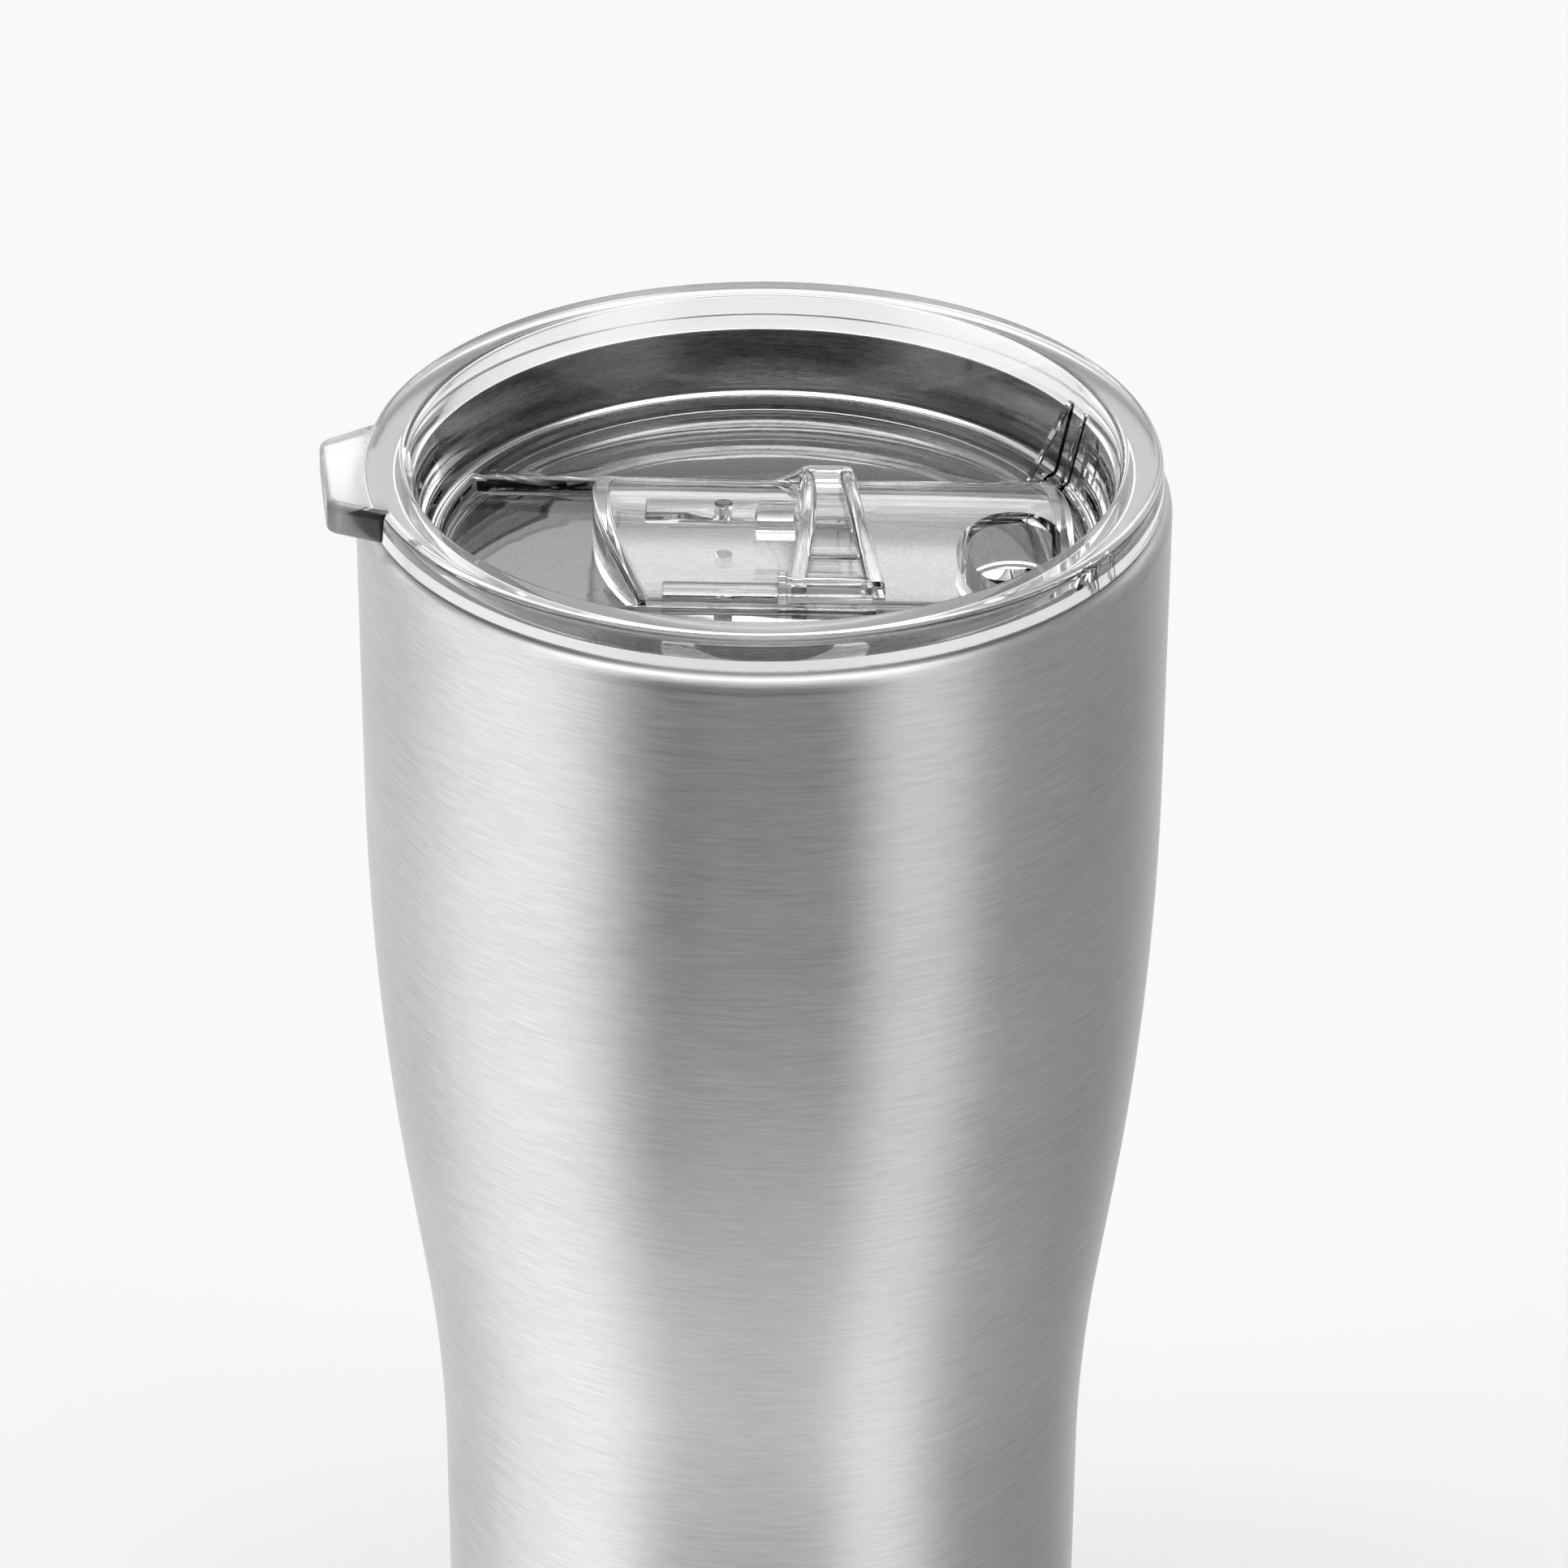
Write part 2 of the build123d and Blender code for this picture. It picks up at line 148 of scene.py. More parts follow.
def stack(name, loops):
    """Closed solid through closed loops of 3-D points, all with the same count, capped at both ends."""
    builder = bmesh.new()
    rings = [[builder.verts.new(Vector(point) * MM) for point in loop] for loop in loops]
    count = len(rings[0])
    for low, high in zip(rings, rings[1:]):
        for step in range(count):
            after = (step + 1) % count
            builder.faces.new((low[step], low[after], high[after], high[step]))
    builder.faces.new(rings[0][::-1])
    builder.faces.new(rings[-1])
    return object_from(builder, name)


def combine(piece, other, operation):
    """Boolean of two closed meshes. The other piece is used up."""
    modifier = piece.modifiers.new(operation.lower(), "BOOLEAN")
    modifier.operation = operation
    modifier.solver = "MANIFOLD"
    modifier.object = other
    bpy.context.view_layer.update()
    shown = piece.evaluated_get(bpy.context.evaluated_depsgraph_get())
    mesh = bpy.data.meshes.new_from_object(shown)
    piece.modifiers.clear()
    old = piece.data
    piece.data = mesh
    bpy.data.meshes.remove(old)
    mesh.name = piece.name
    used = other.data
    bpy.data.objects.remove(other)
    bpy.data.meshes.remove(used)
    smooth(piece)


def cut(piece, other):
    """Takes a closed mesh away from a piece."""
    combine(piece, other, "DIFFERENCE")


def join(piece, other):
    """Adds a closed mesh to a piece as one skin."""
    combine(piece, other, "UNION")


def prism(name, plan, low, high, low_round=0.0, high_round=0.0):
    """Upright prism on a plan given as a function of an inset, with rounded or flared ends.

    A positive rounding pulls the end in, as an outside corner. A negative one flares it out, for a cutter
    that leaves a rounded mouth.
    """
    steps = 5
    loops = []
    if low_round:
        size = abs(low_round)
        for step in range(steps):
            angle = math.pi / 2 * step / steps
            inset = size * (1 - math.sin(angle))
            loops.append((plan(math.copysign(inset, low_round)), low + size * (1 - math.cos(angle))))
    loops.append((plan(0), low + abs(low_round)))
    loops.append((plan(0), high - abs(high_round)))
    if high_round:
        size = abs(high_round)
        for step in range(1, steps + 1):
            angle = math.pi / 2 * step / steps
            inset = size * (1 - math.cos(angle))
            loops.append((plan(math.copysign(inset, high_round)), high - size * (1 - math.sin(angle))))
    return stack(name, [[(x, y, z) for x, y in line] for line, z in loops])


def oval_plan(centre, size, steps=64):
    """Plan function of an oval."""

    def plan(inset):
        turns = [2 * math.pi * step / steps for step in range(steps)]
        half_x, half_y = size[0] / 2 - inset, size[1] / 2 - inset
        return [(centre[0] + half_x * math.cos(turn), centre[1] + half_y * math.sin(turn)) for turn in turns]

    return plan


def strip_plan(reach, half, steps=40):
    """Plan function of a strip along X whose ends are arcs about Z."""

    def plan(inset):
        radius = reach - inset
        edge = half - inset
        corner = math.asin(edge / radius)
        line = []
        for start in (0, math.pi):
            for step in range(steps + 1):
                angle = start - corner + 2 * corner * step / steps
                line.append((radius * math.cos(angle), radius * math.sin(angle)))
            run = radius * math.cos(corner)
            sign = 1 if start == 0 else -1
            for step in range(1, steps):
                line.append((sign * run * (1 - 2 * step / steps), sign * edge))
        return line

    return plan


def block(name, x_span, y_span, z_span, edge=0.0):
    """Box given by its limits, with its upright and flat edges rounded."""
    builder = bmesh.new()
    bmesh.ops.create_cube(builder, size=1.0)
    for vertex in builder.verts:
        for axis, (low, high) in enumerate((x_span, y_span, z_span)):
            vertex.co[axis] = (low if vertex.co[axis] < 0 else high) * MM
    if edge:
        bmesh.ops.bevel(
            builder, geom=builder.edges[:], offset=edge * MM, segments=4, profile=0.5, affect="EDGES"
        )
    return object_from(builder, name)


# ---------------------------------------------------------------- the cup's wall line
FOOT_RADIUS = 40.3
WAIST = (41.14, 71.4)  # radius and height where the lowest straight stretch would meet the flare
NECK = (49.68, 126.6)  # radius and height where the flare would meet the highest straight stretch
RIM_RADIUS = 50.5
WAIST_ARC = 204.0
NECK_ARC = 407.0
SEAM_WIDTH = 0.9  # from the bore to the edge of the shell's shoulder


def foot_line(height):
    """Outer radius on the lowest straight stretch."""
    return FOOT_RADIUS + (WAIST[0] - FOOT_RADIUS) * height / WAIST[1]


def upper_line(height):
    """Outer radius on the highest straight stretch."""
    return NECK[0] + (RIM_RADIUS - NECK[0]) / (RIM - NECK[1]) * (height - NECK[1])


def wall_points(inset, low, high):
    """Corner points of the cup's outline moved in by an inset, from a low height to a high one."""
    return [
        (foot_line(low) - inset, low, 0),
        (WAIST[0] - inset, WAIST[1], WAIST_ARC),
        (NECK[0] - inset, NECK[1], NECK_ARC),
        (upper_line(high) - inset, high, 0),
    ]


def outer_shell():
    """Spun outer wall with its shoulder turned in to the rim."""
    shoulder = 2.6
    weld = upper_line(RIM) - WALL_DEPTH + SEAM_WIDTH

    def line(inset):
        wall = wall_points(inset, SHELL_FOOT, RIM)[:3]
        corner = (RIM_RADIUS - inset, RIM - inset, shoulder - inset)
        return rounded([*wall, corner, (weld, RIM - inset, 0)], SWEEP_STEP)

    return lathe("Outer_shell", line(0) + line(SHEET)[::-1])


def rim_seam():
    """Polished bead where the shell and the liner are welded."""
    bore = upper_line(RIM) - WALL_DEPTH
    edge = 0.12
    return lathe("Rim_seam", rounded([
        (bore + SHEET, RIM - SHEET, 0),
        (bore + SEAM_WIDTH, RIM - SHEET, 0),
        (bore + SEAM_WIDTH, RIM, edge),
        (bore + SHEET, RIM, edge),
    ], step_degrees=30))


def liner():
    """Drawn inner wall down to its base seam, with its lip rolled over at the rim."""
    lip_round = 0.35
    inner = wall_points(WALL_DEPTH, LINER_FOOT, RIM)
    outer = wall_points(WALL_DEPTH - SHEET, LINER_FOOT, RIM)
    inner[-1] = (inner[-1][0], RIM, lip_round)
    return lathe("Liner", rounded(inner, SWEEP_STEP) + rounded(outer, SWEEP_STEP)[::-1])


def inner_floor():
    """Dished floor of the cup."""
    floor, corner = 9.0, 7.0

    def line(sheet):
        inset, height = WALL_DEPTH - sheet, floor - sheet
        top = (foot_line(LINER_FOOT) - inset, LINER_FOOT, 0)
        bend = (foot_line(height) - inset, height, corner + sheet)
        return rounded([top, bend, (0, height, 0)], step_degrees=6)

    return lathe("Inner_floor", line(0) + line(SHEET)[::-1])


def outer_base():
    """Pressed base: rounded corner, flat standing ring and recessed middle."""
    seam = foot_line(SHELL_FOOT)
    sheet, corner, edge, pump_hole = 0.6, 2.6, 0.3, 0.6
    outside = rounded([
        (seam, SHELL_FOOT, 0), (FOOT_RADIUS, 0, corner), (34.6, 0, edge), (34.1, 1.4, edge),
        (5.0, 1.4, edge), (4.2, 2.4, edge), (pump_hole, 2.4, 0),
    ])
    inside = rounded([
        (seam - sheet, SHELL_FOOT, 0), (FOOT_RADIUS - sheet, sheet, corner - sheet), (35.02, sheet, edge),
        (34.52, 2.0, edge), (5.3, 2.0, edge), (4.5, 3.0, edge), (pump_hole, 3.0, 0),
    ])
    return lathe("Outer_base", outside + inside[::-1])


def base_cap():
    """Thin spun disc in the base recess, with a shallow turned step near its edge."""
    radius, face, back, step = 33.8, 0.9, 1.4, 1.02
    return lathe("Base_cap", rounded([
        (0, face, 0), (27.8, face, 0), (28.1, step, 0.1), (28.9, step, 0.1), (29.2, face, 0),
        (radius, face, 0.2), (radius, back, 0), (0, back, 0),
    ], step_degrees=20))


# ---------------------------------------------------------------- lid
def pull_tab():
    """Tongue on the flange for lifting the lid, with rounded corners and edges."""
    thickness = 4.3
    root, shoulder, end = 45.6, 47.6, 54.5
    half_root, half_end = 12.5, 8.75
    shoulder_round, end_round = 1.5, 2.6
    turn = math.radians(187)

    def plan(inset):
        half = half_root - inset
        near, far = inset - half_end, half_end - inset
        corners = [
            (root, -half, 0), (shoulder, -half, shoulder_round), (end - inset, near, end_round - inset),
            (end - inset, far, end_round - inset), (shoulder, half, shoulder_round), (root, half, 0),
        ]
        return [tuple(point) for point in rounded(corners, step_degrees=90 / 7)]

    tab = prism("tab", plan, TOP - thickness, TOP, low_round=0.5, high_round=0.9)
    tab.data.transform(Matrix.Rotation(turn, 4, "Z"))
    return tab


def wall_rib(angle, foot, thickness):
    """Upright gusset between the well's floor and its wall."""
    low, high = WELL_FLOOR - 0.7, TOP - 3.0
    back_low, back_high, crest, crest_round = 42.0, 44.3, 43.2, 0.5
    half = thickness / 2
    soft = 0.25
    loops = []
    for y, inset in ((-half, soft), (soft - half, 0.0), (half - soft, 0.0), (half, soft)):
        line = rounded([
            (foot + inset, low, 0), (back_low, low, 0), (back_high, high - inset, 0),
            (crest, high - inset, crest_round),
        ], CORNER_STEP)
        loops.append([(x, y, z) for x, z in line])
    rib = stack("rib", loops)
    rib.data.transform(Matrix.Rotation(math.radians(angle), 4, "Z"))
    return rib


def groove_cutter(sign):
    """Shallow ring groove in the well's floor on one side of the channel."""
    steps = 96
    low, high = WELL_FLOOR - 0.6, WELL_FLOOR + 0.5
    inner, outer = 36.6, 39.6
    slope = 0.25
    loops = []
    for drop, z in ((0.0, low), (slope, WELL_FLOOR), (slope, high)):
        radius_out, radius_in = outer + drop, inner - drop
        start_out, start_in = math.asin(TRAY_HALF / radius_out), math.asin(TRAY_HALF / radius_in)
        line = []
        for step in range(steps + 1):
            angle = start_out + (math.pi - 2 * start_out) * step / steps
            line.append((radius_out * math.cos(angle), sign * radius_out * math.sin(angle), z))
        for step in range(steps + 1):
            angle = math.pi - start_in - (math.pi - 2 * start_in) * step / steps
            line.append((radius_in * math.cos(angle), sign * radius_in * math.sin(angle), z))
        loops.append(line)
    return stack("groove", loops)


def plug_radius(z):
    """Outer radius of the lid's plug, which tapers towards its foot."""
    taper = (PLUG_HEAD_RADIUS - PLUG_FOOT_RADIUS) * (z - PLUG_BOTTOM) / (FLANGE_FOOT - PLUG_BOTTOM)
    return PLUG_FOOT_RADIUS + taper


def lid_body():
    """One clear moulding: flange, well, channel, pull tab and the plug that enters the cup."""
    well_foot_radius, well_mouth_radius = 41.2, 44.4
    flange_top_radius, flange_foot_radius = 49.2, 49.5
    groove_low, groove_high, groove_radius, groove_edge = PLUG_BOTTOM + 1.1, PLUG_BOTTOM + 4.2, 42.0, 0.15
    plug_bore = 39.6
    tray_reach, tray_depth = 40.0, 2.0
    track_span, track_side, track_height = (-27.4, 14.2), (16.3, 17.4), (185.55, 187.0)
    ribs = ((29.5, 36.9, 1.4), (24.5, 39.8, 1.0))  # degrees from the sip end, foot radius, thickness
    holes = {"sip": oval_plan(SIP_CENTRE, SIP_HOLE), "vent": oval_plan(VENT_CENTRE, VENT_HOLE, 32)}
    beyond = 3.0  # how far cutters reach past the channel's floor
    body = lathe("Lid", rounded([
        (0, WELL_FLOOR, 0),
        (well_foot_radius, WELL_FLOOR, 1.0),
        (well_mouth_radius, TOP, 0.9),
        (flange_top_radius, TOP, 1.1),
        (flange_foot_radius, FLANGE_FOOT, 0.5),
        (PLUG_HEAD_RADIUS, FLANGE_FOOT, 0.3),
        (plug_radius(groove_high), groove_high, groove_edge),
        (groove_radius, groove_high, groove_edge),
        (groove_radius, groove_low, groove_edge),
        (plug_radius(groove_low), groove_low, groove_edge),
        (PLUG_FOOT_RADIUS, PLUG_BOTTOM, 0.6),
        (plug_bore, PLUG_BOTTOM, 0.5),
        (plug_bore, WELL_UNDER, 0.5),
        (0, WELL_UNDER, 0),
    ]))
    join(body, pull_tab())
    tray = strip_plan(tray_reach, TRAY_HALF)
    channel = strip_plan(CHANNEL_REACH, CHANNEL_HALF)
    join(body, prism("tray", tray, CHANNEL_FLOOR - tray_depth, WELL_UNDER + 0.3, low_round=0.5))
    cut(body, prism("channel", channel, CHANNEL_FLOOR, WELL_FLOOR + 0.02, low_round=0.4, high_round=-1.1))
    for side in (1, -1):
        cut(body, groove_cutter(side))
    for angle, foot, thickness in ribs:
        for side in (-1, 1):
            join(body, wall_rib(side * angle, foot, thickness))
    for side in (-1, 1):
        cut(body, block("track", track_span, sorted(side * y for y in track_side), track_height))
    for name, plan in holes.items():
        cut(body, prism(name, plan, CHANNEL_FLOOR - beyond, CHANNEL_FLOOR + 1))
    return body


def gasket():
    """Soft clear ring with two lips in the plug's groove."""
    low, high = PLUG_BOTTOM + 1.15, PLUG_BOTTOM + 4.15
    bore, waist, edge = 42.05, 43.7, 0.15
    lower_lip, upper_lip = 44.6, 44.5
    return lathe("Gasket", rounded([
        (bore, low, 0.2), (43.6, low, edge), (43.9, low + 0.3, edge), (lower_lip, low + 0.9, edge),
        (lower_lip, low + 1.25, edge), (waist, low + 1.15, 0.2), (waist, low + 1.9, 0.2),
        (upper_lip, low + 2.4, edge), (upper_lip, low + 2.75, edge), (43.6, high, 0.1), (bore, high, 0.2),
    ], step_degrees=30))


# ---------------------------------------------------------------- sliding closure
def arch_stations(radius, half, edge, steps=44):
    """(y, top height) stations across an arch of a given radius, with its two long edges rounded."""
    tangent = math.asin((half - edge) / (radius - edge))
    stations = []
    round_steps = 5
    centre_y, centre_z = half - edge, ARCH_AXIS + math.sqrt((radius - edge) ** 2 - (half - edge) ** 2)
    for step in range(round_steps + 1):
        angle = math.pi / 2 - (math.pi / 2 - tangent) * step / round_steps
        stations.append((-(centre_y + edge * math.sin(angle)), centre_z + edge * math.cos(angle)))
    for step in range(1, steps):
        angle = -tangent + 2 * tangent * step / steps
        stations.append((radius * math.sin(angle), ARCH_AXIS + radius * math.cos(angle)))
    stations.extend([(-y, z) for y, z in stations[:round_steps + 1][::-1]])
    return stations


def arch_block(name, left, right, radius, half, foot, edge, end_edge):
    """Closed solid under an arch between two plan ends given as functions of y."""
    loops = []
    for y, top in arch_stations(radius, half, edge):
        x_low, x_high = left(y), right(y)
        corners = [(x_low, foot, 0), (x_low, top, end_edge), (x_high, top, end_edge), (x_high, foot, 0)]
        loops.append([(x, y, z) for x, z in rounded(corners, CORNER_STEP)])
    return stack(name, loops)


def left_end(inset):
    """X of the closure's left end at a given y, on one arc."""
    centre_x, centre_y, radius = 15.9, 4.9, 37.4
    return lambda y: centre_x - math.sqrt((radius - inset) ** 2 - (y - centre_y) ** 2)


def right_end(inset):
    """X of the closure's right end at a given y: it follows the well, then a flatter arc."""
    well_radius = 39.7
    centre_x, centre_y, radius = -60.2, -13.0, 99.0
    return lambda y: min(
        centre_x + math.sqrt((radius - inset) ** 2 - (y - centre_y) ** 2),
        math.sqrt((well_radius - inset) ** 2 - y**2),
    )


def rod(name, x_span, y, z, radius):
    """Round bar along X with slightly rounded ends."""
    low, high = x_span
    soft = 0.25
    steps = 24
    turns = [2 * math.pi * step / steps for step in range(steps)]
    loops = []
    for x, shrink in ((low, soft), (low + soft / 2, soft / 4), (low + soft, 0), (high - soft, 0),
                      (high - soft / 2, soft / 4), (high, soft)):
        size = radius - shrink
        loops.append([(x, y + size * math.cos(turn), z + size * math.sin(turn)) for turn in turns])
    return stack(name, loops)


def arch_inside(name, inset, foot, edge):
    """Solid that fills the closure's outline moved in by an inset."""
    return arch_block(name, left_end(inset), right_end(inset), ARCH_RADIUS - inset, SLIDER_HALF - inset, foot,
                      edge, edge)


def slider_plate():
    """Arched clear cover with end walls, side rails, edge beads, a vent hole and a drinking window."""
    plate = 2.0
    under = ARCH_APEX - plate
    middle = (-2.5, 2.5)
    bead_span, near_bead, far_bead = (-12.0, 2.3), 1.1, 0.8  # the beads' reach along X, then their radii
    rail_span, rail_side, rail_height = (-12.0, 13.8), (15.2, 17.0), (185.8, 186.8)
    body = arch_block("Slider", left_end(0), right_end(0), ARCH_RADIUS, SLIDER_HALF, SLIDER_FOOT, 0.5, 0.6)
    cut(body, arch_inside("hollow", plate, SLIDER_FOOT - 1, 0.4))
    join(body, block("pad", (-14.6, 0.0), middle, (under - 0.6, under + 0.6), 0.2))
    join(body, block("peg", (-1.0, 4.0), middle, (under - 2.5, under + 0.6), 0.3))
    for side in (-1, 1):
        join(body, block("rail", rail_span, sorted(side * y for y in rail_side), rail_height, 0.15))
    join(body, rod("near_bead", bead_span, near_bead - SLIDER_HALF, WELL_FLOOR + near_bead, near_bead))
    join(body, rod("far_bead", bead_span, SLIDER_HALF - 0.9, WELL_FLOOR, far_bead))
    collar = prism("collar", oval_plan(SIP_CENTRE, COLLAR), SLIDER_FOOT + 0.1, TOP)
    combine(collar, arch_inside("limit", 0.5, SLIDER_FOOT, 0.4), "INTERSECT")
    join(body, collar)
    cut(body, prism("window", oval_plan(SIP_CENTRE, WINDOW), SLIDER_FOOT - 1, TOP))
    cut(body, prism("hole", oval_plan(VENT_CENTRE, VENT_HOLE, 32), under - 2, TOP))
    return body


def arch_height(radius, y):
    """Height of an arch of a given radius about the closure's axis."""
    return ARCH_AXIS + math.sqrt(radius**2 - y * y)


def band(name, left_edge, right_edge, height, y_span, edge):
    """Raised band across the arch between two plan edges given as functions of y."""
    steps = 40
    loops = []
    for step in range(steps + 1):
        y = y_span[0] + (y_span[1] - y_span[0]) * step / steps
        inner, outer = arch_height(ARCH_SOLE, y), arch_height(ARCH_RADIUS + height, y)
        left, right = left_edge(y), right_edge(y)
        corners = [(left, inner, 0), (left, outer, edge), (right, outer, edge), (right, inner, 0)]
        loops.append([(x, y, z) for x, z in rounded(corners, CORNER_STEP)])
    return stack(name, loops)


def through(*points):
    """X as a smooth function of y through three (x, y) points."""
    (x0, y0), (x1, y1), (x2, y2) = points

    def value(y):
        return (
            x0 * (y - y1) * (y - y2) / ((y0 - y1) * (y0 - y2))
            + x1 * (y - y0) * (y - y2) / ((y1 - y0) * (y1 - y2))
            + x2 * (y - y0) * (y - y1) / ((y2 - y0) * (y2 - y1))
        )

    return value


def grip_wing(hoop_edge):
    """Hollow flare that runs from the cover up to the far half of the left hoop."""
    crest = ARCH_RADIUS + 1.7
    low_y, high_y = -3.0, 13.2
    overlap, root_width, spread, hollow = 0.5, 0.6, 5.0, 2.2
    steps, climbs = 24, 8
    loops = []
    for step in range(steps + 1):
        y = low_y + (high_y - low_y) * step / steps
        right = hoop_edge(y) + overlap
        left = right - root_width - spread * (step / steps) ** 2
        line = [(right, arch_height(ARCH_SOLE, y)), (left, arch_height(ARCH_SOLE, y))]
        for climb in range(climbs + 1):
            part = climb / climbs
            radius = ARCH_RADIUS + 0.05 + (crest - ARCH_RADIUS) * part**hollow
            line.append((left + (right - left) * part, arch_height(radius, y)))
        loops.append([(x, y, z) for x, z in line])
    return stack("wing", loops)


def tread(left_edge, right_edge, far, near, low, high):
    """Step of the grip's web between two plan edges, from a far y to a near y, with a softened near edge."""
    steps = 6
    soft = 0.3
    overlap = 0.6
    loops = []

    def add(edge_y, y, top):
        left, right = left_edge(edge_y) - overlap, right_edge(edge_y) + overlap
        loops.append([(left, y, low), (right, y, low), (right, y, top), (left, y, top)])

    add(near, near, high - soft)
    add(near, near + soft, high)
    for step in range(1, steps + 1):
        y = near + (far - near) * step / steps
        add(y, y, high)
    return stack("tread", loops)


def thumb_grip():
    """Bridge clipped over the cover: two hoops, a stepped web, a flare and a foot along each edge."""
    hoop_height, hoop_edge = 1.9, 0.75
    hoop_span = (-15.4, 14.6)
    web_height, web_span, web_overlap = 1.6, (8.8, 14.4), 0.8
    treads = ((9.4, 1.5, 6.4), (2.0, -3.8, 6.9), (-3.3, -10.8, 8.5))  # far y, near y, depth below the top
    foot_reach, foot_edge = 13.6, 0.35
    pin_heights, pin_half = (188.9, 190.0), 0.3
    left_out = through((3.9, 14.5), (4.7, 0), (3.6, -15))
    left_in = through((5.0, 14.5), (6.5, 0), (5.5, -15))
    right_in = through((8.7, 14.5), (9.9, 0), (13.2, -15))
    right_out = through((10.7, 14.5), (11.9, 0), (15.2, -15))
    grip = band("Thumb_grip", left_out, left_in, hoop_height, hoop_span, hoop_edge)
    join(grip, band("right", right_in, right_out, hoop_height, hoop_span, hoop_edge))
    web_left, web_right = (lambda y: left_in(y) - web_overlap), (lambda y: right_in(y) + web_overlap)
    join(grip, band("web", web_left, web_right, web_height, web_span, 0.2))
    tread_foot = arch_height(ARCH_SOLE, treads[0][0])
    for far, near, depth in treads:
        join(grip, tread(left_in, right_in, far, near, tread_foot, TOP - depth))
    join(grip, grip_wing(left_out))
    join(grip, block("far_foot", (4.0, 11.2), (foot_reach, SLIDER_HALF), (WELL_FLOOR, TOP - 10.9), foot_edge))
    near_span = (-SLIDER_HALF, -foot_reach)
    join(grip, block("near_foot", (2.3, 13.9), near_span, (WELL_FLOOR, TOP - 9.6), foot_edge))
    join(grip, block("clip", (2.1, 3.3), (-SLIDER_HALF - 0.1, -13.4), (WELL_FLOOR - 0.1, TOP - 9.4), 0.25))
    for height in pin_heights:
        pin_span = (height - pin_half, height + pin_half)
        cut(grip, block("pin_hole", (12.4, 13.1), (-17.0, -14.9), pin_span))
    return grip


# ---------------------------------------------------------------- materials
EVEN = (1, 1, 1)  # noise with no stretch


class Nodes:
    """Small helper that adds and links shader nodes of one material or world."""

    def __init__(self, tree):
        self.tree = tree
        tree.nodes.clear()

    def add(self, kind, **settings):
        """New node. A setting that starts with in_ goes to the input of that name, any other to the node."""
        node = self.tree.nodes.new(kind)
        for key, value in settings.items():
            if key.startswith("in_"):
                node.inputs[key[3:].replace("_", " ")].default_value = value
            else:
                setattr(node, key, value)
        return node

    def link(self, source, target):
        """Joins an output to an input."""
        self.tree.links.new(source, target)

    def math(self, operation, first, second=0.0, third=0.0):
        """Result of a calculation on numbers or sockets."""
        node = self.add("ShaderNodeMath", operation=operation)
        for socket, value in zip(node.inputs, (first, second, third)):
            if isinstance(value, (int, float)):
                socket.default_value = value
            else:
                self.link(value, socket)
        return node.outputs[0]

    def weighed(self, first, first_weight, second, second_weight):
        """Weighted sum of two sockets."""
        return self.math(
            "ADD", self.math("MULTIPLY", first, first_weight), self.math("MULTIPLY", second, second_weight)
        )

    def span(self, value, from_low, from_high, to_low, to_high, smooth_step=False):
        """Value carried from one range to another and held at its ends."""
        node = self.add("ShaderNodeMapRange", interpolation_type="SMOOTHSTEP" if smooth_step else "LINEAR")
        for index, number in enumerate((from_low, from_high, to_low, to_high)):
            node.inputs[index + 1].default_value = number
        self.link(value, node.inputs[0])
        return node.outputs[0]

    def noise(self, stretch, scale, detail, rough=0.55):
        """Noise in object coordinates that are first scaled along each axis."""
        node = self.add("ShaderNodeTexNoise", in_Scale=scale, in_Detail=detail, in_Roughness=rough)
        self.link(self.stretched(stretch), node.inputs["Vector"])
        return node.outputs[0]

    def stretched(self, scale):
        """Object coordinates scaled along each axis."""
        place = self.add("ShaderNodeTexCoord")
        mapping = self.add("ShaderNodeMapping", in_Scale=scale)
        self.link(place.outputs["Object"], mapping.inputs["Vector"])
        return mapping.outputs[0]

    def millimetres(self):
        """X, y and z of the shaded point in millimetres."""
        parts = self.add("ShaderNodeSeparateXYZ")
        self.link(self.stretched((1 / MM, 1 / MM, 1 / MM)), parts.inputs[0])
        return parts.outputs

    def mix_colour(self, factor, first, second):
        """Colour between two others, each a fixed colour or a socket."""
        node = self.add("ShaderNodeMix", data_type="RGBA")
        self.link(factor, node.inputs[0])
        for socket, colour in ((node.inputs[6], first), (node.inputs[7], second)):
            if isinstance(colour, tuple):
                socket.default_value = (*colour, 1)
            else:
                self.link(colour, socket)
        return node.outputs[2]

    def bump(self, height, strength, distance, shader):
        """Bends a shader's normal by a height, with the distance in metres."""
        node = self.add("ShaderNodeBump", in_Strength=strength, in_Distance=distance)
        self.link(height, node.inputs["Height"])
        self.link(node.outputs[0], shader.inputs["Normal"])


def new_material(name):
    """Empty node material with its Principled shader and output."""
    material = bpy.data.materials.new(name)
    material.use_nodes = True
    nodes = Nodes(material.node_tree)
    shader = nodes.add("ShaderNodeBsdfPrincipled")
    output = nodes.add("ShaderNodeOutputMaterial")
    nodes.link(shader.outputs[0], output.inputs["Surface"])
    return material, nodes, shader


